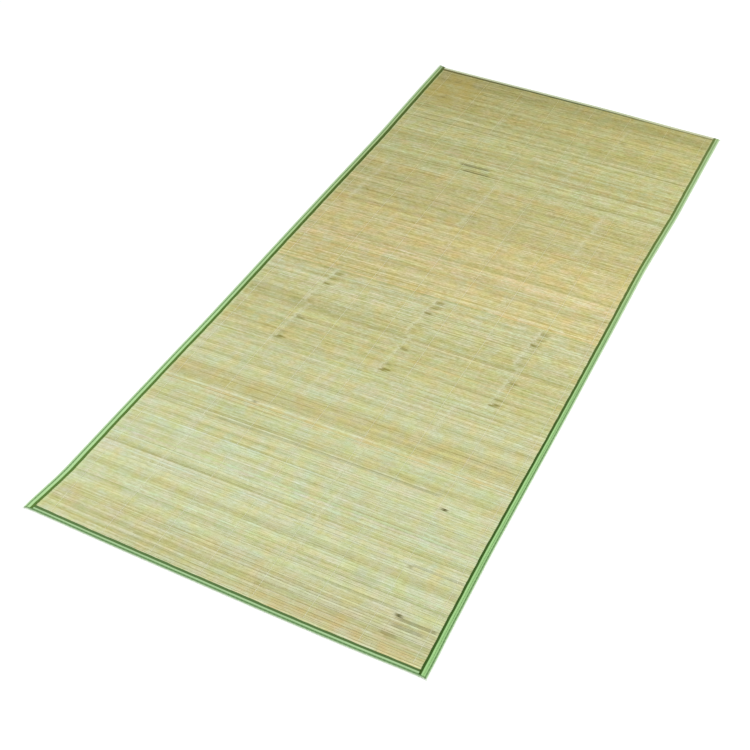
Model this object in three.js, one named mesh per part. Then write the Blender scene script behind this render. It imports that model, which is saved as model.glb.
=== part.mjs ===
// Bamboo mat lying flat, with folded cloth tape bound round all four edges.
// Millimetres. X across the mat, Y along it with the near end at -Y, Z up from the surface it lies on.

import * as THREE from "three";

// Slats
const SLAT_PITCH = 5;
const SLAT_THICKNESS = 1.5;
const GROOVE_WIDTH = 1.2;
const GROOVE_DEPTH = 0.45;

// Binding tape, folded over each edge
const TAPE_THICKNESS = 1;
const CLEARANCE = 0.3;
const TAPE_WIDTH = { left: 17, right: 14.6, near: 10.8, far: 14.4 };
const FOLD_ARC_DIVISIONS = 3;

// Heights, from the surface up
const SLAT_BOTTOM = TAPE_THICKNESS + CLEARANCE;
const SLAT_TOP = SLAT_BOTTOM + SLAT_THICKNESS;
const TAPE_TOP = SLAT_TOP + CLEARANCE + TAPE_THICKNESS;
const FOLD_RADIUS = TAPE_TOP / 2;

// Outer edge of the two side tapes: the mat is narrowest in its near half and spreads at its ends.
const SIDE_OUTLINE = [
  { y: -902, left: -382.5, right: 380.4 },
  { y: -888, left: -382.5, right: 380.4 },
  { y: -863, left: -380.3, right: 380.3 },
  { y: -803, left: -375, right: 378.7 },
  { y: -623, left: -374.5, right: 376.4 },
  { y: -430, left: -373.4, right: 376.9 },
  { y: -323, left: -372.2, right: 377.3 },
  { y: -223, left: -372.4, right: 377.4 },
  { y: 37, left: -373.6, right: 376.8 },
  { y: 277, left: -374, right: 375.3 },
  { y: 397, left: -373.4, right: 378.4 },
  { y: 517, left: -373.6, right: 381.6 },
  { y: 757, left: -378.3, right: 382 },
  { y: 902, left: -380.2, right: 382.5 },
];

// Outer edge of the two end tapes, which bow outwards
const END_OUTLINE = [
  { x: -380, near: -898.1, far: 891.9 },
  { x: -230, near: -900.2, far: 894.7 },
  { x: -100, near: -900.9, far: 897.8 },
  { x: 100, near: -901.7, far: 901.7 },
  { x: 250, near: -901, far: 898.4 },
  { x: 380, near: -897.6, far: 899.4 },
];

// Where the raw ends of the side tapes are cut, at their outer and their inner edge
const TAPE_TIPS = {
  left: { nearOuter: -898.6, nearInner: -895.6, farOuter: 897.4, farInner: 892.4 },
  right: { nearOuter: -897.6, nearInner: -895.6, farOuter: 896, farInner: 897 },
};

// How far the right end of a slat lies beyond its left end, for a slat at y
const SLAT_SLANT = [
  { y: -900, rise: 1 },
  { y: -869, rise: 4 },
  { y: -703, rise: 15 },
  { y: -303, rise: 28 },
  { y: -46, rise: 34 },
  { y: 57, rise: 37 },
  { y: 228, rise: 31 },
  { y: 437, rise: 28 },
  { y: 640, rise: 22 },
  { y: 797, rise: 14 },
  { y: 900, rise: 7 },
];

// The value of one column of a table, between the two rows that lie around "at"
function between(table, key, at, column) {
  const last = table.length - 1;
  const above = table.findIndex((row) => row[key] >= at);
  const next = above < 0 ? last : Math.max(1, above);
  const low = table[next - 1];
  const high = table[next];
  const share = (at - low[key]) / (high[key] - low[key]);
  return THREE.MathUtils.lerp(low[column], high[column], share);
}

const sideEdge = (side, y) => between(SIDE_OUTLINE, "y", y, side);
const endEdge = (end, x) => between(END_OUTLINE, "x", x, end);

// Section of a tape folded over an edge: the fold's outermost point is at the origin, and both legs
// run towards -X.
function foldedSection(width) {
  const middle = TAPE_TOP / 2;
  const innerRadius = FOLD_RADIUS - TAPE_THICKNESS;
  const section = new THREE.Shape();
  section.moveTo(-width, 0);
  section.lineTo(-FOLD_RADIUS, 0);
  section.absarc(-FOLD_RADIUS, middle, FOLD_RADIUS, -Math.PI / 2, Math.PI / 2, false);
  section.lineTo(-width, TAPE_TOP);
  section.lineTo(-width, TAPE_TOP - TAPE_THICKNESS);
  section.absarc(-FOLD_RADIUS, middle, innerRadius, Math.PI / 2, -Math.PI / 2, true);
  section.lineTo(-width, TAPE_THICKNESS);
  section.closePath();
  return section;
}

// A tape of the folded section with one step for each stretch between stations. place gives the
// position of a section point: how far it lies out from the edge, its height, and its station.
function tapeGeometry(width, stations, place) {
  const steps = stations.length - 1;
  const settings = { depth: steps, steps, bevelEnabled: false, curveSegments: FOLD_ARC_DIVISIONS };
  const geometry = new THREE.ExtrudeGeometry(foldedSection(width), settings);
  const position = geometry.getAttribute("position");
  for (let i = 0; i < position.count; i++) {
    const station = stations[Math.round(position.getZ(i))];
    const point = place(position.getX(i), position.getY(i), station);
    position.setXYZ(i, point.x, point.y, point.z);
  }
  geometry.computeVertexNormals();
  return geometry;
}

// A side tape runs the whole length of the mat, and its raw ends are cut a little askew.
function sideTape(side) {
  const width = TAPE_WIDTH[side];
  const tips = TAPE_TIPS[side];
  const stations = SIDE_OUTLINE.map((row) => row.y);
  const [nearEnd] = stations;
  const farEnd = stations[stations.length - 1];
  if (side === "right") {
    stations.reverse();
  }
  const outward = side === "right" ? 1 : -1;
  return tapeGeometry(width, stations, (out, height, station) => {
    const inwards = -out / width;
    let y = station;
    if (station === nearEnd) {
      y = THREE.MathUtils.lerp(tips.nearOuter, tips.nearInner, inwards);
    } else if (station === farEnd) {
      y = THREE.MathUtils.lerp(tips.farOuter, tips.farInner, inwards);
    }
    return new THREE.Vector3(sideEdge(side, y) + outward * out, y, height);
  });
}

// Where an end tape stops, just clear of a side tape's inner edge
function besideTape(side, y) {
  const inward = side === "left" ? 1 : -1;
  return sideEdge(side, y) + inward * (TAPE_WIDTH[side] + CLEARANCE);
}

// An end tape runs between the two side tapes, and its two ends follow their inner edges.
function endTape(end) {
  const outward = end === "far" ? 1 : -1;
  const edgeY = endEdge(end, 0);
  const leftX = besideTape("left", edgeY);
  const rightX = besideTape("right", edgeY);
  const bends = END_OUTLINE.slice(1, -1).map((row) => row.x);
  const stations = [leftX, ...bends, rightX];
  if (end === "near") {
    stations.reverse();
  }
  return tapeGeometry(TAPE_WIDTH[end], stations, (out, height, station) => {
    const y = endEdge(end, station) + outward * out;
    let x = station;
    if (station === leftX) {
      x = besideTape("left", y);
    } else if (station === rightX) {
      x = besideTape("right", y);
    }
    return new THREE.Vector3(x, y, height);
  });
}

// Distances along the mat at which the panel's surface changes height: the start and end of each
// slat's flat top, then the bottom of the groove after it.
function slatStations(nearY, farY) {
  const count = Math.round((farY - nearY) / SLAT_PITCH);
  const pitch = (farY - nearY) / count;
  const stations = [];
  for (let i = 0; i < count; i++) {
    const start = nearY + i * pitch;
    const first = i === 0;
    const last = i === count - 1;
    stations.push({ y: first ? start : start + GROOVE_WIDTH / 2, depth: 0 });
    stations.push({ y: last ? farY : start + pitch - GROOVE_WIDTH / 2, depth: 0 });
    if (!last) {
      stations.push({ y: start + pitch, depth: GROOVE_DEPTH });
    }
  }
  return stations;
}

// The slats with the threads that tie them are one sheet, ribbed on both faces. Each slat lies at a
// slant that changes along the mat, and its ends follow the side tapes' folds.
function slatPanel() {
  const [leftEnd] = END_OUTLINE;
  const rightEnd = END_OUTLINE[END_OUTLINE.length - 1];
  const nearY = (leftEnd.near + rightEnd.near) / 2 + FOLD_RADIUS;
  const farY = (leftEnd.far + rightEnd.far) / 2 - FOLD_RADIUS;
  const stations = slatStations(nearY, farY);
  const steps = stations.length - 1;
  const geometry = new THREE.BoxGeometry(2, steps, 2, 1, steps, 1);
  const position = geometry.getAttribute("position");
  for (let i = 0; i < position.count; i++) {
    const station = stations[Math.round(position.getY(i) + steps / 2)];
    const side = position.getX(i) < 0 ? "left" : "right";
    const inward = side === "left" ? 1 : -1;
    const rise = between(SLAT_SLANT, "y", station.y, "rise") / 2;
    const y = side === "left" ? station.y - rise : station.y + rise;
    const top = position.getZ(i) > 0;
    const z = top ? SLAT_TOP - station.depth : SLAT_BOTTOM + station.depth;
    position.setXYZ(i, sideEdge(side, y) + inward * FOLD_RADIUS, y, z);
  }
  geometry.computeVertexNormals();
  return geometry;
}

const bamboo = new THREE.MeshStandardMaterial({ color: 0xb3a073, roughness: 0.5, metalness: 0 });
const greenTape = new THREE.MeshStandardMaterial({ color: 0x6fa552, roughness: 0.85, metalness: 0 });

function piece(name, geometry, material) {
  const mesh = new THREE.Mesh(geometry, material.clone());
  mesh.name = name;
  return mesh;
}

const mat = new THREE.Group();
mat.add(piece("slat_panel", slatPanel(), bamboo));
mat.add(piece("binding_left", sideTape("left"), greenTape));
mat.add(piece("binding_right", sideTape("right"), greenTape));
mat.add(piece("binding_near", endTape("near"), greenTape));
mat.add(piece("binding_far", endTape("far"), greenTape));

export default mat;
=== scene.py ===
# Bamboo mat lying flat: split bamboo slats tied by cotton warp threads, bound with folded green tape.
# Metres. X across the mat, Y along it with the near end at -Y, Z up from the surface it lies on.

import math

import bmesh
import bpy
import numpy as np
from mathutils import Matrix, Vector


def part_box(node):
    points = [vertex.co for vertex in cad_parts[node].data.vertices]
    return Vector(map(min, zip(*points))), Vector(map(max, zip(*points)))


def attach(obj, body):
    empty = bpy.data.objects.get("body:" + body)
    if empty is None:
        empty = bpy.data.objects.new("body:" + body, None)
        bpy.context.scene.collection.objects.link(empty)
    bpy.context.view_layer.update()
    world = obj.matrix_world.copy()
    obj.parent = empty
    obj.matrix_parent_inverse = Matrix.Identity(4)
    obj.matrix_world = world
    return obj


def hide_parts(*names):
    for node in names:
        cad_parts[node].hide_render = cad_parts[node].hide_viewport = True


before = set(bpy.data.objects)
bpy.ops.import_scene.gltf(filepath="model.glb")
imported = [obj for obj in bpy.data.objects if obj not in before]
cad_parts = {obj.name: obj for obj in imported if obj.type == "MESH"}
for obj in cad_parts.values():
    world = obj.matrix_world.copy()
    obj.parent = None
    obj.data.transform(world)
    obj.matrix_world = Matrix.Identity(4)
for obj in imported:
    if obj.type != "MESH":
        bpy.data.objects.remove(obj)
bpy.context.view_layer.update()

MM = 0.001
SEED = 11

# Camera, at the photograph's viewing angle
CAMERA_PLACE = (0.7486, -2.0077, 1.6721)
CAMERA_TARGET = (-0.0200, -0.3178, 0.0035)
CAMERA_ROLL = math.radians(2.64)
CAMERA_LENS = 61.48
CAMERA_SENSOR = 36
CAMERA_SHIFT = 0.02

# Where the distances from the near end in the tables below are measured from
NEAR_END = -903.6 * MM

# Half the mat's nominal width
HALF_WIDTH = 0.375

# How far the corners of the CAD's outline are rounded off
SIDE_ROUNDING = 20 * MM
END_ROUNDING = 50 * MM

# Slats. Each is cut across at SLAT_STATIONS places, leans by about SLAT_LEAN degrees, and wanders
# along a wave of WANDER_TURN radians to the metre.
SLAT_PITCH = 5 * MM
SLAT_GAP = 0.14 * MM
SLAT_EDGE = 0.22 * MM
SLAT_STATIONS = 16
SLAT_UNEVEN = 0.2
SLAT_LEAN = 1.0
SLAT_WANDER = 0.12 * MM
WANDER_TURN = 9

# The room left for the first and the last slat inside the folds of the end tapes
NEAR_ROOM = 0.5 * MM
FAR_ROOM = 4.2 * MM

# How far the slats' ends lie inside the side tapes' outer edges, at the least, and how
# much further some do, in mm
LEAST_INSET = 2.4
INSET_SPREAD = 1.2

# How much the slats' tones and tints stray, and how much of its tone a slat hands on to the next
SLAT_TONE = 0.055
SLAT_WARMTH = 0.011
TONE_SKEW = 0.35
TONE_CARRY = 0.35

# How much a tone changes red, green and blue: bamboo gets yellower as it darkens
TONE_TINT = (0.92, 0.97, 1.75)

# How far the edges of the batches mingle, and how far apart the slats lie on their map, so that no
# two show the same pattern
BATCH_MINGLE = 5 * MM
MAP_STEP = 20 * MM

# Nodes: how far each reaches along its slat and swells it, how far it moves through its batch and
# strays, how clear it stays of the slat's ends, and how wide a band of slats one stain covers
NODE_REACH = 4 * MM
NODE_SWELL = 0.015
NODE_DRIFT = 14 * MM
NODE_SCATTER = 1.5 * MM
NODE_CLEAR = 8 * MM
SPOT_REACH = 4.2 * MM

# Where a slat's rim starts, as a share of half its width. The rim gets painted shade, standing in for
# the shade in the gaps between the slats.
SHADED_RIM_FROM = 0.86

# How far along the mat a patch of colour moves for each metre across it
PATCH_SLANT = 0.04

# Warp threads, by how far across the mat each runs, and how far they stay clear of an end tape, in mm
WARP_AT = [-0.336, -0.230, -0.134, -0.035, 0.062, 0.157, 0.256, 0.350]
WARP_RADIUS = 0.34 * MM
WARP_SWAY = 1.5 * MM
WARP_CLEAR = {"near": 0.5, "far": 2}

# Tape: its cloth, how far its middle lies above the slats and its underside above the ground, how
# much wider its lower leg is, and its fold
TAPE_CLOTH = 0.5 * MM
SIDE_LIE = 0.35 * MM
END_LIE = 0.45 * MM
GROUND_CLEAR = 0.05 * MM
LOWER_WIDER = 0.8 * MM
FOLD_REACH = 2.2 * MM
FOLD_OUT = 0.3 * MM
FOLD_POINTS = 7
LEG_POINTS = 12
TAPE_STEP = 2.5 * MM

# How the seam puckers a tape, and by how many mm its width wavers
SEAM_REACH = 1.5 * MM
SEAM_PULL = 0.16 * MM
CLOTH_PUFF = 0.10 * MM
WIDTH_WAVER = 0.45

# The tapes' corners: how far inside a side tape's outer edge an end tape stops, how far the laps
# reach, and beyond which y the points of a side tape's raw ends lie
END_INSET = 2.8 * MM
LAP_REACH = 15 * MM
LAP_SLOPE = 8 * MM
LAP_CLEAR = 0.04 * MM
TIP_FROM = 889 * MM

# Stitches: each arches at its middle, and slims and dips at its ends. It is set a little into the
# upper leg, and runs UNDER_HEIGHT above the ground on the lower one. On a side tape the seam stops
# STITCH_TRIM mm and a stitch short of each end.
STITCH_PITCH = 5 * MM
STITCH_LENGTH = 3.7 * MM
STITCH_RADIUS = 0.24 * MM
STITCH_STATIONS = 5
STITCH_SLIM = 0.45
STITCH_SLANT = 0.3 * MM
STITCH_ARCH = 0.1 * MM
STITCH_DIP = 0.28 * MM
STITCH_TRIM = 8
SET_IN_TOP = 0.02 * MM
UNDER_HEIGHT = 0.18 * MM

# Loose threads at the side tapes' raw ends
FRAY_COUNT = 26
FRAY_POINTS = 4
FRAY_LENGTH = 4 * MM
FRAY_RADIUS = 0.13 * MM
FRAY_ROOT = 0.6 * MM

# Studio light. LIGHT_LEVEL is how much of it falls on the mat, as a multiple of a white card's.
LIGHT_LEVEL = 1.18
SKY_STRENGTH = 0.92
LAMPS = [
    dict(name="soft_key", place=(2.2, 0.9, 2.6), size=2.4, power=40),
    dict(name="soft_fill", place=(-0.6, -2.4, 2.8), size=2.6, power=28),
]
FLOOR_REACH = 6

# Colours on the bamboo, as the 0 to 255 values that show under the studio light
DARK_LINE = (142, 130, 66)
PALE_NODE = (222, 227, 196)
BROWN_NODE = (122, 116, 12)
NODE_RIDGE = (150, 130, 74)
SLAT_MARK = (78, 78, 0)
# Painted shade on the slats' rims, for the shade in the gaps between slats
SLAT_GAP_SHADE = (140, 124, 76)
SPECK = (112, 92, 52)
STAIN = (146, 160, 126)
RIPE_PATCH = (176, 154, 62)
SUNNED_PATCH = (204, 166, 98)
BESIDE_TAPE = (214, 240, 176)

# Colours of the threads, and of a tape's seam, rim and dark edge line, which is partly a dark selvedge and
# partly painted shade of the fold
WARP_NEAR = (246, 246, 220)
WARP_FAR = (228, 224, 180)
SEAM_LINE = (98, 146, 74)
TAPE_RIM = (192, 218, 176)
# Partly a dark selvedge, partly painted shade of the fold
SELVEDGE_AND_FOLD_SHADE = (94, 132, 80)
SEWING = (78, 136, 60)
FRAY_DYED = (170, 204, 150)
FRAY_RAW = (226, 236, 214)

# How wide each tape's upper leg is, and how far in from its outer edge the seam runs, in mm
TAPE_WIDTH = {"left": 17.0, "right": 14.6, "near": 10.8, "far": 14.4}
TAPE_SEAM = {"left": 5.4, "right": 6.2, "near": 2.6, "far": 5.0}

# How a tape changes along itself, by the share of its length from its near or left end: how much
# wider than usual it is, how wide its inner stripe is, how far in its dark edge line runs and how
# strong that is, all in mm but the last, and the colours of its stripe and of its bright part. The
# dark edge line is partly a dark selvedge and partly painted shade of the fold.
TAPES = {
    "left": [
        dict(at=0.0, wider=-0.7, stripe=5.2, edge=4.8, line=0.85, dark=(88, 124, 48), bright=(180, 222, 156)),
        dict(at=0.3, wider=-0.5, stripe=5.4, edge=5.0, line=0.85, dark=(84, 118, 42), bright=(178, 219, 154)),
        dict(at=0.7, wider=1.5, stripe=5.9, edge=5.9, line=0.90, dark=(72, 96, 24), bright=(170, 198, 135)),
        dict(at=0.985, wider=1.6, stripe=6.1, edge=6.0, line=0.8, dark=(78, 98, 30), bright=(168, 193, 132)),
        dict(at=1.0, wider=1.0, stripe=6.1, edge=6.0, line=0.4, dark=(84, 102, 40), bright=(158, 174, 142)),
    ],
    "right": [
        dict(at=0.0, wider=0.0, stripe=4.2, edge=2.5, line=1.0, dark=(52, 88, 16), bright=(164, 211, 139)),
        dict(at=0.3, wider=0.1, stripe=4.3, edge=2.7, line=1.0, dark=(54, 88, 18), bright=(164, 210, 139)),
        dict(at=0.7, wider=0.2, stripe=5.2, edge=4.0, line=0.65, dark=(94, 116, 48), bright=(172, 203, 142)),
        dict(at=1.0, wider=0.2, stripe=5.6, edge=4.2, line=0.50, dark=(100, 120, 56), bright=(172, 200, 142)),
    ],
    "near": [
        dict(at=0.0, wider=0.7, stripe=4.7, edge=1.8, line=1.0, dark=(90, 122, 66), bright=(170, 206, 152)),
        dict(at=1.0, wider=0.5, stripe=4.2, edge=1.8, line=1.0, dark=(80, 110, 54), bright=(170, 206, 152)),
    ],
    "far": [
        dict(at=0.0, wider=1.0, stripe=6.2, edge=5.5, line=0, dark=(112, 108, 60), bright=(206, 209, 174)),
        dict(at=0.5, wider=-0.1, stripe=4.7, edge=5.0, line=0, dark=(96, 108, 70), bright=(202, 208, 172)),
        dict(at=0.8, wider=-1.6, stripe=3.8, edge=4.5, line=0, dark=(134, 138, 92), bright=(202, 206, 168)),
        dict(at=1.0, wider=-2.2, stripe=3.4, edge=4.5, line=0, dark=(146, 146, 98), bright=(206, 207, 170)),
    ],
}

# Painted light: how much brighter the right end of a slat is than its left end, by distance from the near
# end. It stands in for a light gradient across the mat, painted into the slats' tint.
SIDE_PAINTED_LIGHT = [
    dict(start=0.00, rise=-0.12),
    dict(start=0.12, rise=-0.02),
    dict(start=0.50, rise=0.03),
    dict(start=0.80, rise=0.08),
    dict(start=1.20, rise=0.12),
    dict(start=1.45, rise=0.08),
    dict(start=1.62, rise=0.16),
    dict(start=1.80, rise=0.19),
]

# How far the right end of a slat lies beyond its left end, and its middle beyond both, at y
SLAT_SLANT = [
    dict(y=-0.900, rise=0.001, bow=-0.0035),
    dict(y=-0.869, rise=0.004, bow=-0.0020),
    dict(y=-0.703, rise=0.015, bow=0.0010),
    dict(y=-0.303, rise=0.028, bow=0.0040),
    dict(y=-0.046, rise=0.034, bow=0.0050),
    dict(y=0.057, rise=0.037, bow=0.0050),
    dict(y=0.228, rise=0.031, bow=0.0044),
    dict(y=0.437, rise=0.028, bow=0.0033),
    dict(y=0.640, rise=0.022, bow=0.0030),
    dict(y=0.797, rise=0.014, bow=0.0042),
    dict(y=0.900, rise=0.007, bow=0.0055),
]

# How strong the streaks are, by distance from the near end
STREAKS = [
    dict(start=0.00, strength=0.85),
    dict(start=0.45, strength=0.85),
    dict(start=0.80, strength=1.4),
    dict(start=1.80, strength=1.65),
]

# Slats cut from one stem lie side by side, so they share a tint and their nodes line up. start is
# the distance from the near end, node one node's place across the mat, and gap the next one's
# distance. brown and pale say how strong the node's marks are, and lines how many dark lines show.
BATCHES = [
    dict(start=0.000, tint=(211, 218, 172), node=0.050, gap=0.235, brown=0.2, pale=0.3, lines=0.3),
    dict(start=0.022, tint=(205, 205, 156), node=0.050, gap=0.235, brown=0.6, pale=0.3, lines=0.8),
    dict(start=0.052, tint=(198, 199, 151), node=0.050, gap=0.235, brown=0.9, pale=0.3, lines=1.0),
    dict(start=0.093, tint=(202, 207, 159), node=-0.228, gap=0.310, brown=0.2, pale=0.7, lines=0.4),
    dict(start=0.200, tint=(203, 209, 164), node=0.084, gap=0.312, brown=0.2, pale=0.7, lines=0.35),
    dict(start=0.313, tint=(201, 204, 154), node=-0.225, gap=0.300, brown=0.5, pale=0.4, lines=0.5),
    dict(start=0.414, tint=(195, 192, 136), node=0.020, gap=0.270, brown=0.4, pale=0.2, lines=1.0),
    dict(start=0.487, tint=(199, 201, 151), node=-0.083, gap=0.259, brown=0.2, pale=0.7, lines=0.6),
    dict(start=0.597, tint=(192, 191, 135), node=0.012, gap=0.230, brown=0.9, pale=0.8, lines=0.9),
    dict(start=0.740, tint=(194, 193, 140), node=0.014, gap=0.230, brown=0.9, pale=0.8, lines=0.9),
    dict(start=0.873, tint=(208, 199, 143), node=-0.120, gap=0.262, brown=0.2, pale=0.3, lines=0.9),
    dict(start=0.940, tint=(203, 193, 138), node=-0.113, gap=0.262, brown=0.2, pale=0.3, lines=0.9),
    dict(start=1.019, tint=(199, 189, 129), node=0.060, gap=0.250, brown=0.2, pale=0.3, lines=0.7),
    dict(start=1.138, tint=(185, 179, 120), node=-0.038, gap=0.266, brown=0.5, pale=0.55, lines=0.9),
    dict(start=1.322, tint=(186, 185, 128), node=0.130, gap=0.280, brown=0.3, pale=0.3, lines=0.7),
    dict(start=1.403, tint=(178, 170, 114), node=0.130, gap=0.280, brown=0.3, pale=0.2, lines=1.0),
    dict(start=1.423, tint=(185, 184, 126), node=-0.180, gap=0.290, brown=0.3, pale=0.3, lines=0.7),
    dict(start=1.579, tint=(179, 175, 113), node=-0.123, gap=0.290, brown=0.5, pale=0.35, lines=1.0),
    dict(start=1.725, tint=(164, 159, 96), node=0.030, gap=0.270, brown=0.4, pale=0.2, lines=0.9),
]

# Slats whose nodes are stained brown, by distance from the near end
SPOTS = [
    dict(start=0.622, depth=0.95),
    dict(start=0.638, depth=0.55),
    dict(start=0.683, depth=0.35),
    dict(start=0.695, depth=0.85),
    dict(start=0.776, depth=0.30),
    dict(start=0.820, depth=0.90),
    dict(start=0.840, depth=0.70),
    dict(start=0.861, depth=0.90),
    dict(start=1.190, depth=0.30),
    dict(start=1.655, depth=0.40),
]

# Single dark marks along one slat each, by distance from the near end
MARKS = [
    dict(start=1.386, low=-0.150, high=-0.064, depth=0.62),
    dict(start=1.363, low=-0.132, high=-0.055, depth=0.62),
    dict(start=0.357, low=-0.211, high=0.252, depth=0.22),
    dict(start=0.332, low=0.252, high=0.275, depth=1.0),
    dict(start=1.660, low=-0.316, high=-0.290, depth=0.5),
    dict(start=1.672, low=-0.312, high=-0.286, depth=0.4),
    dict(start=0.102, low=0.120, high=0.290, depth=0.20),
    dict(start=0.087, low=0.286, high=0.366, depth=0.42),
    dict(start=0.092, low=0.280, high=0.302, depth=0.95),
    dict(start=0.072, low=0.284, high=0.348, depth=0.30),
    dict(start=0.053, low=0.270, high=0.312, depth=0.35),
    dict(start=0.193, low=0.256, high=0.275, depth=0.45),
    dict(start=0.198, low=0.262, high=0.368, depth=0.22),
    dict(start=1.390, low=-0.146, high=-0.070, depth=0.35),
    dict(start=1.367, low=-0.126, high=-0.062, depth=0.35),
    dict(start=0.429, low=-0.174, high=-0.152, depth=0.50),
]


# Shader values

class Wire:
    """One value or colour in a finish, with arithmetic."""

    def __init__(self, finish, socket):
        self.finish = finish
        self.socket = socket

    def maths(self, operation, *values):
        return self.finish.node("ShaderNodeMath", {"operation": operation}, dict(enumerate(values)))

    def __add__(self, other):
        return self.maths("ADD", self, other)

    __radd__ = __add__

    def __sub__(self, other):
        return self.maths("SUBTRACT", self, other)

    def __rsub__(self, other):
        return self.maths("SUBTRACT", other, self)

    def __mul__(self, other):
        return self.maths("MULTIPLY", self, other)

    __rmul__ = __mul__

    def __truediv__(self, other):
        return self.maths("DIVIDE", self, other)

    def __abs__(self):
        return self.maths("ABSOLUTE", self)

    def wrapped(self, period):
        """The value less its nearest whole number of periods."""
        return self.maths("WRAP", self, period * 0.5, period * -0.5)

    def sine(self):
        return self.maths("SINE", self)

    def ribs(self, period):
        """A wave of this period along the value."""
        return (self * (2 * math.pi / period)).sine()

    def ease(self, low, high):
        """0 below low and 1 above high, or the other way round where low is the larger."""
        first, last = (low, high) if low < high else (high, low)
        start, end = (0, 1) if low < high else (1, 0)
        settings = {"interpolation_type": "SMOOTHSTEP"}
        sockets = {"Value": self, "From Min": first, "From Max": last, "To Min": start, "To Max": end}
        return self.finish.node("ShaderNodeMapRange", settings, sockets)


class Finish:
    """A material under construction, and its shader."""

    def __init__(self, name):
        self.material = bpy.data.materials.new(name)
        self.material.use_nodes = True
        self.tree = self.material.node_tree
        self.shader = self.tree.nodes["Principled BSDF"]

    def node(self, kind, settings=None, sockets=None, output=0):
        """Adds a node, sets it up, fills its sockets, and gives one of its outputs."""
        made = self.tree.nodes.new(kind)
        for key, value in (settings or {}).items():
            setattr(made, key, value)
        for key, value in (sockets or {}).items():
            self.fill(made.inputs[key], value)
        return Wire(self, made.outputs[output])

    def fill(self, socket, value):
        if isinstance(value, Wire):
            self.tree.links.new(value.socket, socket)
        else:
            socket.default_value = value

    def set(self, **values):
        """Fills the shader's own sockets; an underscore stands for a space."""
        for key, value in values.items():
            self.fill(self.shader.inputs[key.replace("_", " ")], value)

    def number(self, name):
        return self.node("ShaderNodeAttribute", {"attribute_name": name}, output="Fac")

    def colour(self, name):
        return self.node("ShaderNodeAttribute", {"attribute_name": name}, output="Color")

    def parts(self, vector, axes):
        return [self.node("ShaderNodeSeparateXYZ", None, {0: vector}, axis) for axis in axes]

    def along_and_across(self, layer):
        """The two directions of a piece's own map, in metres."""
        return self.parts(self.node("ShaderNodeUVMap", {"uv_map": layer}), "XY")

    def place(self):
        """Where a point lies on the mat, in metres."""
        return self.node("ShaderNodeTexCoord", output="Object")

    def point(self, x, y, z=0.0):
        return self.node("ShaderNodeCombineXYZ", None, {0: x, 1: y, 2: z})

    def noise(self, place, detail=2.0, roughness=0.5, scale=1.0):
        sockets = {"Vector": place, "Scale": scale, "Detail": detail, "Roughness": roughness}
        return self.node("ShaderNodeTexNoise", {"noise_dimensions": "3D"}, sockets)

    def mix(self, factor, first, second, blend="MIX"):
        settings = {"data_type": "RGBA", "blend_type": blend}
        return self.node("ShaderNodeMix", settings, {0: factor, 6: first, 7: second}, 2)

    def oval(self, x, y, middle, reach, ragged):
        """0 at the middle of an oval and 1 at its edge, which another value makes ragged."""
        across = (x - middle[0]) / reach[0]
        along = (y - middle[1]) / reach[1]
        return across * across + along * along + ragged

    def shaded(self, colour, tone):
        """A bamboo colour made lighter or darker."""
        factors = self.point(*[1 + share * tone for share in TONE_TINT])
        return self.node("ShaderNodeVectorMath", {"operation": "MULTIPLY"}, {0: colour, 1: factors})

    def scaled(self, colour, amount):
        sockets = {"Vector": colour, "Scale": amount}
        return self.node("ShaderNodeVectorMath", {"operation": "SCALE"}, sockets)

    def bump(self, height, distance, strength=1.0):
        sockets = {"Height": height, "Distance": distance, "Strength": strength}
        return self.node("ShaderNodeBump", None, sockets)


def linear(red, green, blue):
    """The colour that looks like these 0 to 255 values under the studio light."""
    parts = [((v / 255 + 0.055) / 1.055) ** 2.4 for v in (red, green, blue)]
    return tuple(p / LIGHT_LEVEL for p in parts)


def paint(red, green, blue):
    return (*linear(red, green, blue), 1)


# Materials

def with_casts(f, body, x, row, yellowing, ripeness):
    """Yellow, grey, pink and green casts, each some centimetres across."""
    sun = f.noise(f.point(x * 3, row * 26, 5.0), 2)
    casts = [
        ((0.65 * yellowing + 0.35 * sun).ease(0.48, 0.62), (1.015, 0.985, 0.85, 1)),
        (yellowing.ease(0.52, 0.36), (0.99, 1.01, 1.10, 1)),
        (ripeness.ease(0.50, 0.66), (1.04, 0.98, 0.99, 1)),
        (ripeness.ease(0.50, 0.34), (0.97, 1.02, 1.0, 1)),
    ]
    for mask, cast in casts:
        body = f.mix(mask, body, cast, "MULTIPLY")
    return body


def with_node_marks(f, body, along, across, from_node):
    """Pale marks before each node and brown ones after it."""
    wander = 0.017 * (f.noise(f.point(along * 60, across * 500, 3.0), 2) - 0.5)
    rough = from_node + wander
    blotch = f.noise(f.point(along * 120, across * 260, 2.0), 2)
    pale = rough.ease(-0.010, -0.004) * rough.ease(0.005, 0.0) * f.number("pale")
    brown = rough.ease(-0.003, 0.002) * rough.ease(0.023, 0.009) * f.number("brown")
    body = f.mix(pale * (0.2 + 0.6 * blotch), body, paint(*PALE_NODE))
    return f.mix(brown * (0.4 + 0.8 * blotch), body, paint(*BROWN_NODE))


def with_single_mark(f, body, along, across):
    """One dark mark along a slat, which fades towards both its ends."""
    wander = 0.02 * (f.noise(f.point(along * 25, across * 300, 6.0), 2) - 0.5)
    begun = (along - f.number("mark_low") + wander).ease(0.0, 0.012)
    unfinished = (along - f.number("mark_high") + wander).ease(0.0, -0.012)
    return f.mix(begun * unfinished * f.number("mark"), body, paint(*SLAT_MARK))


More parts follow.
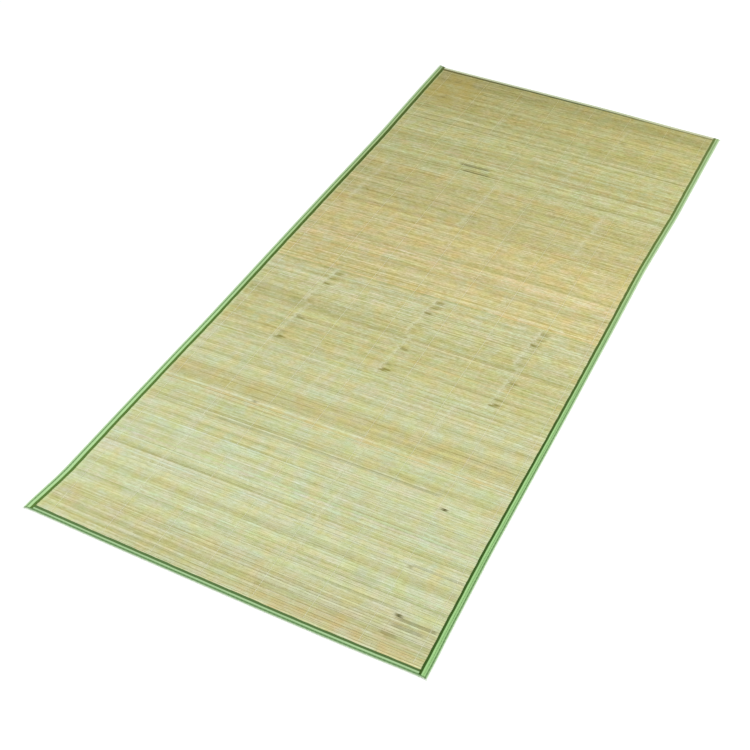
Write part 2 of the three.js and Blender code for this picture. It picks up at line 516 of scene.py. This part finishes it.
def with_patches(f, body, x, y, row, patches, yellowing, ripeness):
    """A grey-green stain, an olive-yellow patch at the far left and a sunned one along the near end."""
    stain = f.oval(x, y, (0.212, -0.761), (0.029, 0.019), 1.6 * (patches - 0.5)).ease(1.1, 0.2)
    ripe = f.oval(x, y, (-0.30, 0.80), (0.085, 0.085), 3 * (ripeness - 0.5)).ease(1.2, 0.2)
    sunned = f.oval(x, row, (0.19, -0.892), (0.19, 0.036), 2 * (patches - 0.5)).ease(1.2, 0.2)
    body = f.mix(stain * 0.22, body, paint(*STAIN))
    body = f.mix(ripe * 0.85 * yellowing, body, paint(*RIPE_PATCH))
    return f.mix(sunned * 0.5 * ripeness, body, paint(*SUNNED_PATCH))


def bamboo_finish():
    """Split bamboo: long fibres, casts of colour, node marks, and dark lines along some slats."""
    f = Finish("split_bamboo")
    along, across = f.along_and_across("slat")
    place = f.place()
    x, y = f.parts(place, "XY")
    row = y - PATCH_SLANT * x
    rim = f.number("rim")
    lines = f.number("lines")
    patches = f.noise(f.point(x * 20, row * 90), 3, 0.65)
    yellowing = f.noise(f.point(x * 36, row * 24, 3.0), 1)
    ripeness = f.noise(f.point(x * 36, row * 24, 8.0), 1)

    fibres = f.noise(f.point(along * 30, across * 3000), 3, 0.6)
    streaks = f.noise(f.point(along * 22, across * 330, 1.0), 2, 0.6)
    cloudy = f.noise(f.point(along * 7, across * 130, 4.0), 2)
    long_tone = f.noise(f.point(along * 2.2, across * 240), 1)
    grain = f.noise(f.point(along * 120, across * 230, 12.0), 2)
    tone = 0.25 * (fibres - 0.5) + 0.5 * (streaks - 0.5) + 0.2 * (cloudy - 0.5) + 0.6 * (grain - 0.5)
    tone = tone + 0.55 * (long_tone - 0.5) + 0.4 * (patches - 0.5)
    body = f.shaded(f.colour("tint"), tone * f.number("strength"))
    body = with_casts(f, body, x, row, yellowing, ripeness)

    line_noise = f.noise(f.point(along * 3, across * 420, 7.0), 2, 0.6)
    line = line_noise.ease(0.56, 0.66) * (0.25 + 0.75 * lines)
    body = f.mix(line * 0.75, body, paint(*DARK_LINE))
    from_node = (along - f.number("node")).wrapped(f.number("gap"))
    body = with_node_marks(f, body, along, across, from_node)
    body = with_single_mark(f, body, along, across)
    body = with_patches(f, body, x, y, row, patches, yellowing, ripeness)

    by_left = (along - f.number("left_end")).ease(21 * MM, 16 * MM)
    by_right = (f.number("right_end") - along).ease(18 * MM, 13 * MM)
    body = f.mix(0.32 * by_left + 0.14 * by_right, body, paint(*BESIDE_TAPE))
    speck = f.noise(place, 2, 0.6, 420).ease(0.73, 0.78) * lines
    body = f.mix(speck * 0.5, body, paint(*SPECK))
    # Painted shade along each slat's rims, standing in for the shade in the gaps between slats
    body = f.mix(rim * 0.2, body, paint(*SLAT_GAP_SHADE))
    ridge = abs(from_node + 0.003 * (cloudy - 0.5)).ease(0.0011, 0.0003)
    body = f.mix(ridge * (0.25 + 0.3 * f.number("brown")), body, paint(*NODE_RIDGE))

    height = 0.6 * fibres + 0.3 * cloudy + 0.25 * ridge
    f.set(Base_Color=body, Roughness=0.46 + 0.25 * (cloudy - 0.4) + 0.1 * rim)
    f.set(Normal=f.bump(height, 0.12 * MM, 0.7), Specular_IOR_Level=0.35)
    return f.material


def cotton_finish():
    """Fine twisted off-white thread, yellower towards the far end."""
    f = Finish("cotton_thread")
    place = f.place()
    x, y, z = f.parts(place, "XYZ")
    ply = (x * 9000 + y * 6500 + z * 5000).sine()
    fluff = f.noise(place, 2, 0.6, 2400)
    tone = 0.94 + 0.1 * ply + 0.3 * (fluff - 0.5)
    aged = f.mix(y.ease(-0.1, 0.6), paint(*WARP_NEAR), paint(*WARP_FAR))
    f.set(Base_Color=f.scaled(aged, tone), Roughness=0.85)
    f.set(Normal=f.bump(ply + fluff, 0.06 * MM, 0.6))
    return f.material


def tape_finish():
    """Ribbed cotton tape: a dark green inner stripe, bright green ribs, and a dark line by the turned edge,
    partly a dark selvedge and partly painted shade of the fold.
    """
    f = Finish("green_tape")
    along, across = f.along_and_across("tape")
    fluff = f.noise(f.point(along * 900, across * 900), 3, 0.65)
    fade = f.noise(f.point(along * 18, across * 60, 2.0), 2)
    twill = (along + across * 0.9).ribs(1.1 * MM)
    cords = across.ribs(1.8 * MM)
    stitch_wave = along.ribs(8.5 * MM)

    bright = f.scaled(f.colour("bright"), 0.88 + 0.24 * fade)
    seam_line = abs(across - f.number("seam")).ease(1.9 * MM, 0.3 * MM)
    body = f.mix(seam_line * 0.4 * f.number("line"), bright, paint(*SEAM_LINE))
    stripe = (across - f.number("stripe")).ease(0.4 * MM, -0.3 * MM)
    body = f.mix(stripe, body, f.colour("dark"))

    turned = across - f.number("turn")
    from_line = turned + f.number("edge")
    rim = from_line.ease(0.9 * MM, 1.9 * MM) * turned.ease(4 * MM, 2 * MM)
    body = f.mix(rim * 0.6, body, paint(*TAPE_RIM))
    # Dark line by the turned edge: partly a dark selvedge, partly painted shade of the fold
    selvedge_and_shade = abs(from_line).ease(1.9 * MM, 0.6 * MM) * (0.9 + 0.1 * stitch_wave)
    body = f.mix(selvedge_and_shade * f.number("line"), body, paint(*SELVEDGE_AND_FOLD_SHADE))

    tone = 1 + 0.10 * twill + 0.05 * cords + 0.35 * (fluff - 0.5)
    height = 0.6 * twill + 0.35 * cords + 0.5 * fluff
    f.set(Base_Color=f.scaled(body, tone), Roughness=0.8 + 0.15 * (fluff - 0.5))
    f.set(Normal=f.bump(height, 0.16 * MM, 0.8), Specular_IOR_Level=0.2)
    return f.material


def sewing_finish():
    """Green sewing thread."""
    f = Finish("sewing_thread")
    place = f.place()
    x, y = f.parts(place, "XY")
    ply = (x * 7000 + y * 7000).sine()
    tone = 0.9 + 0.18 * ply + 0.3 * (f.noise(place, 2, 0.5, 1500) - 0.5)
    f.set(Base_Color=f.scaled(linear(*SEWING), tone), Roughness=0.6)
    f.set(Normal=f.bump(ply, 0.05 * MM, 0.6))
    return f.material


def fray_finish():
    """Pale ends of the tape's own threads."""
    f = Finish("frayed_thread")
    dyed = f.noise(f.place(), 2, 0.6, 700)
    f.set(Base_Color=f.mix(dyed, paint(*FRAY_DYED), paint(*FRAY_RAW)), Roughness=0.85)
    return f.material


def floor_finish():
    """Smooth matt white board with a very faint mottle."""
    f = Finish("pale_board")
    mottle = f.noise(f.place(), 3, 0.5, 6)
    f.set(Base_Color=f.mix(mottle, (0.9, 0.9, 0.9, 1), (0.93, 0.93, 0.93, 1)), Roughness=0.9)
    return f.material


# Places

def between(table, key, at, column):
    """One column of a table, worked out between the rows on either side; at may be an array."""
    return np.interp(at, [row[key] for row in table], [row[column] for row in table])


def edge_line(node, along, outward):
    """How far out a bound edge lies in the CAD, as a function of the distance along it. The fold
    reaches furthest at half its height."""
    low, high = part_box(node)
    middle = (low[2] + high[2]) / 2
    level, apart = 0.05 * MM, 5 * MM
    fold = [v.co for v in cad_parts[node].data.vertices if abs(v.co.z - middle) < level]
    reach = {(c[along], c[1 - along] * outward) for c in fold}
    furthest = [p for p in reach if all(q[1] <= p[1] or abs(q[0] - p[0]) > apart for q in reach)]
    at, out = zip(*sorted(furthest))
    return lambda v: np.interp(v, at, np.array(out) * outward)


def rounded(line, reach):
    """The same line with its corners rounded off."""
    steps = np.linspace(-reach, reach, 9)
    return lambda v: np.mean([line(np.asarray(v) + s) for s in steps], axis=0)


EDGE = {
    "left": rounded(edge_line("binding_left", 1, -1), SIDE_ROUNDING),
    "right": rounded(edge_line("binding_right", 1, 1), SIDE_ROUNDING),
    "near": rounded(edge_line("binding_near", 0, -1), END_ROUNDING),
    "far": rounded(edge_line("binding_far", 0, 1), END_ROUNDING),
}
OUTWARD = {"left": -1, "right": 1, "near": -1, "far": 1}
PANEL_LOW, PANEL_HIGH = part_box("slat_panel")
SLAT_MIDDLE = (PANEL_LOW[2] + PANEL_HIGH[2]) / 2
SLAT_THICK = PANEL_HIGH[2] - PANEL_LOW[2]


def waver(rng, lengths):
    """A gentle irregular wave of height 1, from the given wavelengths."""
    phases = rng.random(len(lengths)) * 2 * math.pi
    turns = 2 * math.pi / np.array(lengths)
    return lambda v: np.mean([np.sin(v * t + p) for t, p in zip(turns, phases)], axis=0)


# Meshes

def link(name, mesh):
    made = bpy.data.objects.new(name, mesh)
    bpy.context.scene.collection.objects.link(made)
    return made


def repeated(blank, count, name):
    """An object that holds copies of a bmesh one after another, and the blank's own points."""
    single = bpy.data.meshes.new(name + "_blank")
    blank.to_mesh(single)
    blank.free()
    points = np.zeros(len(single.vertices) * 3)
    single.vertices.foreach_get("co", points)
    whole = bmesh.new()
    for _ in range(count):
        whole.from_mesh(single)
    mesh = bpy.data.meshes.new(name)
    whole.to_mesh(mesh)
    whole.free()
    bpy.data.meshes.remove(single)
    return link(name, mesh), points.reshape(-1, 3)


def set_points(obj, points):
    obj.data.vertices.foreach_set("co", np.ascontiguousarray(points, dtype=np.float32).ravel())
    obj.data.update()


def set_number(obj, name, values):
    layer = obj.data.attributes.new(name, "FLOAT", "POINT")
    layer.data.foreach_set("value", np.ascontiguousarray(values, dtype=np.float32).ravel())


def set_colour(obj, name, values):
    layer = obj.data.attributes.new(name, "FLOAT_COLOR", "POINT")
    layer.data.foreach_set("color", np.ascontiguousarray(values, dtype=np.float32).ravel())


def set_map(obj, name, along, across):
    """A map in metres, from one pair of values for each point."""
    layer = obj.data.uv_layers.new(name=name)
    corners = np.zeros(len(obj.data.loops), dtype=np.int32)
    obj.data.loops.foreach_get("vertex_index", corners)
    pairs = np.stack([np.ravel(along)[corners], np.ravel(across)[corners]], axis=1)
    layer.data.foreach_set("uv", pairs.astype(np.float32).ravel())


def finished(obj, material, smooth=True):
    obj.data.materials.clear()
    obj.data.materials.append(material)
    if smooth:
        obj.data.polygons.foreach_set("use_smooth", [True] * len(obj.data.polygons))
    obj.data.update()
    return obj


def thread_route(name, radius):
    """A curve that threads of this radius are laid along."""
    route = bpy.data.curves.new(name, "CURVE")
    route.dimensions = "3D"
    route.bevel_depth = radius
    route.bevel_resolution = 0
    route.use_fill_caps = True
    return route


def lay_thread(route, points):
    """Adds one thread to a route, from its points as x, y, z and share of the full radius."""
    spline = route.splines.new("POLY")
    spline.points.add(len(points) - 1)
    for target, (x, y, z, radius) in zip(spline.points, points):
        target.co = (x, y, z, 1)
        target.radius = radius


def threads_from(route, name):
    """The threads of a route as a mesh. The route itself goes."""
    helper = bpy.data.objects.new(route.name, route)
    threads = link(name, bpy.data.meshes.new_from_object(helper))
    bpy.data.objects.remove(helper)
    bpy.data.curves.remove(route)
    return threads


def cut_across(blank, stations):
    """Cuts a blank of unit length into equal stretches."""
    for i in range(1, stations - 1):
        geometry = blank.verts[:] + blank.edges[:] + blank.faces[:]
        place = (i / (stations - 1) - 0.5, 0, 0)
        bmesh.ops.bisect_plane(blank, geom=geometry, plane_co=place, plane_no=(1, 0, 0))


# Slats

def slat_centres(rng):
    """Each slat's middle along the mat and its share of the length, which vary a little."""
    low = PANEL_LOW[1] + NEAR_ROOM
    high = PANEL_HIGH[1] - FAR_ROOM
    count = round((high - low) / SLAT_PITCH)
    share = np.clip(1 + SLAT_UNEVEN * rng.standard_normal(count), 0.6, 1.5)
    ends = low + (high - low) * np.concatenate([[0], np.cumsum(share)]) / share.sum()
    return (ends[1:] + ends[:-1]) / 2, np.diff(ends)


def slat_row(at, x):
    """How far along the mat the slat whose middle is at "at" lies, at x."""
    rise = between(SLAT_SLANT, "y", at, "rise")
    bow = between(SLAT_SLANT, "y", at, "bow")
    return at + rise * x / (2 * HALF_WIDTH) + bow * (0.6 - (x / HALF_WIDTH) ** 2)


def slat_blank():
    """A slat of unit length with rounded long edges, cut across at its stations."""
    blank = bmesh.new()
    bmesh.ops.create_cube(blank, size=1)
    bmesh.ops.scale(blank, vec=(1, SLAT_PITCH - SLAT_GAP, SLAT_THICK), verts=blank.verts)
    long_edges = [e for e in blank.edges if abs(e.verts[0].co.x - e.verts[1].co.x) > 0.5]
    bmesh.ops.bevel(
        blank, geom=long_edges, offset=SLAT_EDGE, segments=2, profile=0.5, affect="EDGES", material=-1
    )
    cut_across(blank, SLAT_STATIONS)
    for face in blank.faces:
        face.smooth = 0.1 < abs(face.normal.z) < 0.99
    return blank


def slat_stops(left, right, nodes):
    """Places across the mat of a slat's stations: its ends, round each node, and between them."""
    stops = [left, right]
    for node in nodes:
        stops += [node - NODE_REACH, node, node + NODE_REACH]
    while len(stops) < SLAT_STATIONS:
        stops.sort()
        widest = max(range(len(stops) - 1), key=lambda i: stops[i + 1] - stops[i])
        stops.append((stops[widest] + stops[widest + 1]) / 2)
    return sorted(stops)


def batch_of(from_near):
    """The stem batch at a distance from the near end, and how far through it that is, 0 to 1."""
    starts = [row["start"] for row in BATCHES] + [PANEL_HIGH[1] - NEAR_END]
    which = max(i for i, start in enumerate(starts[:-1]) if start <= from_near)
    return BATCHES[which], (from_near - starts[which]) / (starts[which + 1] - starts[which])


def slat_ends(at, rng):
    """How far across the mat the slat whose middle is at "at" starts and ends."""
    ends = []
    for side in ("left", "right"):
        outer = float(EDGE[side](slat_row(at, OUTWARD[side] * HALF_WIDTH)))
        inset = (LEAST_INSET + INSET_SPREAD * rng.random()) * MM
        ends.append(outer - OUTWARD[side] * inset)
    return ends


def nodes_between(left, right, node, gap):
    """A slat's nodes, one of which is at "node", apart from any too near its ends."""
    steps = range(math.ceil((left - node) / gap), math.floor((right - node) / gap) + 1)
    return [node + k * gap for k in steps if left + NODE_CLEAR < node + k * gap < right - NODE_CLEAR]


def brownness(batch, from_near, rng):
    """How brown a slat's nodes are: a chance of a few in its batch, and the stained ones."""
    brown = 0.5 * batch["brown"] * np.clip(rng.standard_normal() - 1.2, 0.05, 1)
    for row in SPOTS:
        brown += row["depth"] * math.exp(-(((from_near - row["start"]) / SPOT_REACH) ** 2))
    return min(1, brown)


def make_slats():
    """All the slats, and each one's middle along the mat and width."""
    rng = np.random.default_rng(SEED)
    centres, widths = slat_centres(rng)
    count = len(centres)
    slats, blank = repeated(slat_blank(), count, "slats")
    station = np.rint((blank[:, 0] + 0.5) * (SLAT_STATIONS - 1))
    side = np.abs(blank[:, 1]) / ((SLAT_PITCH - SLAT_GAP) / 2)
    shape = (count, len(blank))
    points = np.zeros((*shape, 3))
    tint = np.ones((*shape, 4))
    along = np.zeros(shape)
    across = np.zeros(shape)
    names = "rim lines node gap pale brown mark mark_low mark_high strength left_end right_end".split()
    numbers = {name: np.zeros(shape) for name in names}
    # The rim mask carries painted shade from the gaps between slats, and a rougher finish
    numbers["rim"][:] = np.clip((side - SHADED_RIM_FROM) / (1 - SHADED_RIM_FROM), 0, 1)
    marked = {int(np.argmin(np.abs(centres - NEAR_END - row["start"]))): row for row in MARKS}

    tone = 0
    for i, (at, width) in enumerate(zip(centres, widths)):
        from_near = at - NEAR_END
        strength = between(STREAKS, "start", from_near, "strength")
        batch, share = batch_of(max(0, from_near + BATCH_MINGLE * rng.standard_normal()))
        left, right = slat_ends(at, rng)
        node = batch["node"] + NODE_DRIFT * (share - 0.5) + NODE_SCATTER * rng.standard_normal()
        nodes = nodes_between(left, right, node, batch["gap"])
        x = np.interp(station, range(SLAT_STATIONS), slat_stops(left, right, nodes))
        at_node = np.min([np.abs(x - n) for n in nodes], axis=0) < 0.1 * MM
        swell = 1 + NODE_SWELL * at_node
        narrow = (width - SLAT_GAP * (0.5 + rng.random())) / (SLAT_PITCH - SLAT_GAP)
        local = blank[:, 1] * narrow * swell
        lean = math.radians(SLAT_LEAN) * rng.standard_normal()
        wander = SLAT_WANDER * np.sin(x * WANDER_TURN + rng.random() * 2 * math.pi)
        points[i, :, 0] = x
        points[i, :, 1] = slat_row(at, x) + local + wander
        points[i, :, 2] = SLAT_MIDDLE + blank[:, 2] * swell + lean * local
        warm = 1 + SLAT_WARMTH * rng.standard_normal()
        fresh = 1 + SLAT_WARMTH * rng.standard_normal()
        chance = rng.standard_normal()
        tone = TONE_CARRY * tone + SLAT_TONE * (chance - TONE_SKEW * (chance**2 - 1))
        red, green, blue = linear(*batch["tint"])
        # Painted light: a gradient across the mat, lighter towards one side, painted into the slat's tint
        ends = 1 + between(SIDE_PAINTED_LIGHT, "start", from_near, "rise") * x / (2 * HALF_WIDTH)
        tinted = np.array([red * warm / fresh, green * fresh, blue / warm**2])
        tinted *= 1 + tone * np.array(TONE_TINT)
        tint[i, :, :3] = tinted * ends[:, None]
        numbers["left_end"][i] = left
        numbers["right_end"][i] = right
        numbers["lines"][i] = batch["lines"] * rng.random() ** 1.5
        numbers["strength"][i] = strength
        numbers["node"][i] = node
        numbers["gap"][i] = batch["gap"]
        numbers["pale"][i] = batch["pale"] * (0.5 + 0.5 * rng.random())
        numbers["brown"][i] = brownness(batch, from_near, rng)
        if i in marked:
            numbers["mark"][i] = marked[i]["depth"]
            numbers["mark_low"][i] = marked[i]["low"]
            numbers["mark_high"][i] = marked[i]["high"]
        along[i] = x
        across[i] = i * MAP_STEP + local + blank[:, 2]

    set_points(slats, points)
    for name, values in numbers.items():
        set_number(slats, name, values)
    set_colour(slats, "tint", tint)
    set_map(slats, "slat", along, across)
    return finished(slats, bamboo_finish(), smooth=False), centres, widths


# Warp threads

def strand_points(x, centres, widths, first):
    """A strand that goes over one slat and under the next, and crosses its partner in the gaps."""
    points = []
    over = PANEL_HIGH[2] + WARP_RADIUS
    under = PANEL_LOW[2] - WARP_RADIUS
    for i, (at, width) in enumerate(zip(centres, widths)):
        height = over if (i + first) % 2 else under
        side = WARP_RADIUS if (i + first) % 2 else -WARP_RADIUS
        row = float(slat_row(at, x))
        points.append((x + side * 0.4, row - 0.3 * width, height))
        points.append((x - side * 0.4, row + 0.3 * width, height))
        points.append((x - side, row + 0.5 * width, SLAT_MIDDLE))
    return points[:-1]


def make_warp_threads(centres, widths):
    """Eight pairs of strands, each twisted round every slat that the end tapes leave open."""
    route = thread_route("warp_route", WARP_RADIUS)
    rng = np.random.default_rng(SEED + 1)
    for x in WARP_AT:
        rows = slat_row(centres, x)
        low = EDGE["near"](x) + (TAPE_WIDTH["near"] + WARP_CLEAR["near"]) * MM
        high = EDGE["far"](x) - (TAPE_WIDTH["far"] + WARP_CLEAR["far"]) * MM
        open_slats = (rows - widths / 2 > low) & (rows + widths / 2 < high)
        sway = waver(rng, (0.9, 0.35))
        for first in (0, 1):
            strand = strand_points(x, centres[open_slats], widths[open_slats], first)
            lay_thread(route, [(px + WARP_SWAY * float(sway(py)), py, pz, 1) for px, py, pz in strand])
    return finished(threads_from(route, "warp_threads"), cotton_finish())


# Binding tape

def is_side(side):
    return side in ("left", "right")


def tape_section(side):
    """A folded tape's points, as distance in from the outer edge and height, and each one's
    distance across the cloth, from the upper leg's edge round the fold to the lower leg's."""
    width = TAPE_WIDTH[side] * MM
    upper = PANEL_HIGH[2] + (SIDE_LIE if is_side(side) else END_LIE)
    lower = TAPE_CLOTH / 2 + GROUND_CLEAR
    middle = (upper + lower) / 2
    half = (upper - lower) / 2
    turn = np.radians(np.linspace(90, -90, FOLD_POINTS + 2)[1:-1])
    section = [(d, upper) for d in np.linspace(width, FOLD_REACH, LEG_POINTS)]
    bend = FOLD_REACH - FOLD_OUT
    section += [(FOLD_REACH - bend * math.cos(a), middle + half * math.sin(a)) for a in turn]
    section += [(d, lower) for d in np.linspace(FOLD_REACH, width + LOWER_WIDER, LEG_POINTS)]
    section = np.array(section)
    lengths = np.linalg.norm(np.diff(section, axis=0), axis=1)
    return section, np.concatenate([[0], np.cumsum(lengths)])


def tape_tip(side, end):
    """Where a side tape's raw end is cut in the CAD, at its outer and its inner edge."""
    points = [v.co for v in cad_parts["binding_" + side].data.vertices if v.co.y * end > TIP_FROM]
    outer = max(points, key=lambda c: abs(c.x))
    inner = min(points, key=lambda c: abs(c.x))
    return outer.y, inner.y


def tape_ends(side):
    """Where a tape starts and ends; an end tape runs in under the side tapes."""
    if is_side(side):
        return tape_tip(side, -1)[0], tape_tip(side, 1)[0]
    at = EDGE[side](0)
    return float(EDGE["left"](at)) + END_INSET, float(EDGE["right"](at)) - END_INSET


def cut_tip(side, u, inward):
    """Draws the raw ends of a side tape to where they are cut."""
    low, high = tape_ends(side)
    across = np.clip(inward / (TAPE_WIDTH[side] * MM), 0, 1)
    near_outer, near_inner = tape_tip(side, -1)
    far_outer, far_inner = tape_tip(side, 1)
    near = near_outer + (near_inner - near_outer) * across
    far = far_outer + (far_inner - far_outer) * across
    return near + (u - low) / (high - low) * (far - near)


def colours_along(table, share, column):
    """A colour column of a table, worked out between its rows."""
    at = [row["at"] for row in table]
    parts = zip(*[paint(*row[column]) for row in table])
    return np.stack([np.interp(share, at, part) for part in parts], axis=1)


def make_tape(side):
    """One folded tape, puckered along its seam. At the corners the side tapes' upper legs rise over
    the end tapes, and the end tapes' lower legs rise over the side tapes'."""
    rng = np.random.default_rng(SEED + 2 + sorted(EDGE).index(side))
    section, over_cloth = tape_section(side)
    width = TAPE_WIDTH[side] * MM
    seam = TAPE_SEAM[side] * MM
    low, high = tape_ends(side)
    strip = bmesh.new()
    steps = round((high - low) / TAPE_STEP)
    bmesh.ops.create_grid(strip, x_segments=steps, y_segments=len(section) - 1, size=0.5)
    mesh = bpy.data.meshes.new("tape_" + side)
    strip.to_mesh(mesh)
    strip.free()
    tape = link("tape_" + side, mesh)
    grid = np.zeros(len(mesh.vertices) * 3)
    mesh.vertices.foreach_get("co", grid)
    grid = grid.reshape(-1, 3) + 0.5
    u = low + grid[:, 0] * (high - low)
    which = np.rint(grid[:, 1] * (len(section) - 1)).astype(int)
    inward, height = section[which].T
    upper_leg = which < LEG_POINTS
    lower_leg = which >= len(section) - LEG_POINTS
    across = np.clip(inward / width, 0, 1)

    pull = np.exp(-(((inward - seam) / SEAM_REACH) ** 2))
    pull *= 0.65 + 0.35 * np.cos(u / STITCH_PITCH * 2 * math.pi)
    puff = np.sin(across * math.pi) * (1 + 0.5 * waver(rng, (0.16, 0.061, 0.019))(u))
    height = height + upper_leg * (CLOTH_PUFF * puff - SEAM_PULL * pull)
    from_end = np.minimum(u - low, high - u)
    lap = 1 - np.clip((from_end - LAP_REACH) / LAP_SLOPE, 0, 1)
    lap = lap * lap * (3 - 2 * lap) * (TAPE_CLOTH + LAP_CLEAR)
    if is_side(side):
        height = height + lap * (height > SLAT_MIDDLE) * np.clip(inward / FOLD_REACH, 0, 1)
    else:
        height = height + lap * lower_leg
    share = (u - low) / (high - low)
    wider = between(TAPES[side], "at", share, "wider")
    wider += WIDTH_WAVER * waver(rng, (0.21, 0.083, 0.034))(u)
    inward = inward + wider * MM * across**2
    if is_side(side):
        u = cut_tip(side, u, inward)
    out = EDGE[side](u) - OUTWARD[side] * inward
    pair = (out, u) if is_side(side) else (u, out)
    set_points(tape, np.stack([*pair, height], axis=1))
    set_number(tape, "seam", np.full(len(u), width - seam))
    set_number(tape, "turn", np.full(len(u), width))
    for name in ("edge", "stripe"):
        set_number(tape, name, MM * between(TAPES[side], "at", share, name))
    set_number(tape, "line", between(TAPES[side], "at", share, "line"))
    for name in ("dark", "bright"):
        set_colour(tape, name, colours_along(TAPES[side], share, name))
    set_map(tape, "tape", u, over_cloth[which])
    cloth = tape.modifiers.new("cloth", "SOLIDIFY")
    cloth.thickness = TAPE_CLOTH
    cloth.offset = 0
    return finished(tape, tape_finish())


def fray_points(side, end, section, rng):
    """One loose thread's points, from inside a tape's raw end out to its own drooping tip."""
    outer, inner = tape_tip(side, end)
    inward, height = section[rng.integers(len(section))]
    root = outer + (inner - outer) * inward / (TAPE_WIDTH[side] * MM)
    start_x = float(EDGE[side](root)) - OUTWARD[side] * inward
    start_y = root - end * FRAY_ROOT
    reach = FRAY_LENGTH * (0.4 + 0.8 * rng.random())
    lean = 0.35 * rng.standard_normal() + 0.5 * OUTWARD[side] * (1 - inward / section[0][0])
    points = []
    for step in range(FRAY_POINTS):
        share = step / (FRAY_POINTS - 1)
        x = start_x + lean * reach * share**1.5
        y = start_y + end * reach * share
        z = max(FRAY_RADIUS, height * (1 - 0.8 * share**2))
        points.append((x, y, z, 1 - 0.4 * share))
    return points


def make_frays():
    """Loose threads at the raw ends of the side tapes, on both legs."""
    route = thread_route("fray_route", FRAY_RADIUS)
    rng = np.random.default_rng(SEED + 20)
    for side in ("left", "right"):
        section, _ = tape_section(side)
        for end in (-1, 1):
            for _ in range(FRAY_COUNT):
                lay_thread(route, fray_points(side, end, section, rng))
    return finished(threads_from(route, "tape_frays"), fray_finish())


def stitch_blank():
    """One stitch of unit length, before its ends are slimmed."""
    blank = bmesh.new()
    turn = bmesh.ops.create_cone(
        blank, cap_ends=True, segments=6, radius1=STITCH_RADIUS, radius2=STITCH_RADIUS, depth=1
    )
    matrix = Matrix.Rotation(math.pi / 2, 3, "Y")
    bmesh.ops.rotate(blank, cent=(0, 0, 0), matrix=matrix, verts=turn["verts"])
    cut_across(blank, STITCH_STATIONS)
    return blank


def make_stitches():
    """The seam that holds each tape, on its upper and lower leg."""
    runs = []
    for side in EDGE:
        low, high = tape_ends(side)
        trim = STITCH_LENGTH + (STITCH_TRIM if is_side(side) else TAPE_WIDTH["left"]) * MM
        first = math.ceil((low + trim) / STITCH_PITCH)
        last = math.floor((high - trim) / STITCH_PITCH)
        for k in range(first, last):
            runs += [(side, (k + 0.5) * STITCH_PITCH, face) for face in (1, -1)]
    stitches, blank = repeated(stitch_blank(), len(runs), "tape_stitches")
    rng = np.random.default_rng(SEED + 9)
    bend = np.abs(blank[:, 0] * 2)
    slim = 1 - STITCH_SLIM * bend**3
    points = np.zeros((len(runs), len(blank), 3))
    for i, (side, at, face) in enumerate(runs):
        u = at + blank[:, 0] * STITCH_LENGTH
        slant = STITCH_SLANT * rng.standard_normal() * blank[:, 0]
        inward = TAPE_SEAM[side] * MM + blank[:, 1] * slim + slant
        lie = SIDE_LIE if is_side(side) else END_LIE
        surface = PANEL_HIGH[2] + lie + TAPE_CLOTH / 2 - SET_IN_TOP if face > 0 else UNDER_HEIGHT
        arch = STITCH_ARCH * (1 - bend) - STITCH_DIP * bend**3
        height = np.maximum(surface + face * arch + blank[:, 2] * slim, 0)
        out = EDGE[side](u) - OUTWARD[side] * inward
        pair = (out, u) if is_side(side) else (u, out)
        points[i] = np.stack([*pair, height], axis=1)
    set_points(stitches, points)
    return finished(stitches, sewing_finish())


# Studio

def make_floor():
    board = bmesh.new()
    bmesh.ops.create_grid(board, x_segments=1, y_segments=1, size=FLOOR_REACH)
    mesh = bpy.data.meshes.new("floor")
    board.to_mesh(mesh)
    board.free()
    finished(link("floor", mesh), floor_finish(), smooth=False)


def make_lamp(name, place, size, power):
    """A round soft lamp that faces the middle of the mat."""
    lamp = bpy.data.lights.new(name, "AREA")
    lamp.shape = "DISK"
    lamp.size = size
    lamp.energy = power
    made = bpy.data.objects.new(name, lamp)
    made.location = place
    made.rotation_euler = (-Vector(place)).to_track_quat("-Z", "Y").to_euler()
    bpy.context.scene.collection.objects.link(made)


def make_studio():
    make_floor()
    for lamp in LAMPS:
        make_lamp(**lamp)
    world = bpy.data.worlds.new("studio")
    world.use_nodes = True
    sky = world.node_tree.nodes["Background"]
    sky.inputs["Color"].default_value = (1, 1, 1, 1)
    sky.inputs["Strength"].default_value = SKY_STRENGTH
    bpy.context.scene.world = world
    bpy.context.scene.view_settings.view_transform = "Standard"


def make_camera():
    lens = bpy.data.cameras.new("camera")
    lens.sensor_width = CAMERA_SENSOR
    lens.lens = CAMERA_LENS
    lens.shift_x = CAMERA_SHIFT
    lens.clip_start = 0.05
    camera = bpy.data.objects.new("camera", lens)
    bpy.context.scene.collection.objects.link(camera)
    place = Vector(CAMERA_PLACE)
    aim = (Vector(CAMERA_TARGET) - place).to_track_quat("-Z", "Y").to_matrix().to_4x4()
    camera.matrix_world = Matrix.Translation(place) @ aim @ Matrix.Rotation(CAMERA_ROLL, 4, "Z")
    bpy.context.scene.camera = camera


make_camera()
make_studio()

slats, centres, widths = make_slats()
warp_threads = make_warp_threads(centres, widths)
tapes = {side: make_tape(side) for side in EDGE}
stitches = make_stitches()
frays = make_frays()

for piece in [slats, warp_threads, stitches, frays, *tapes.values()]:
    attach(piece, "root")
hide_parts("slat_panel")
for side, tape in tapes.items():
    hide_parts("binding_" + side)

for side, tape in tapes.items():
    section, over_cloth = tape_section(side)
    low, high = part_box("binding_" + side)
    trimmings = [stitches, frays] if side == "left" else []
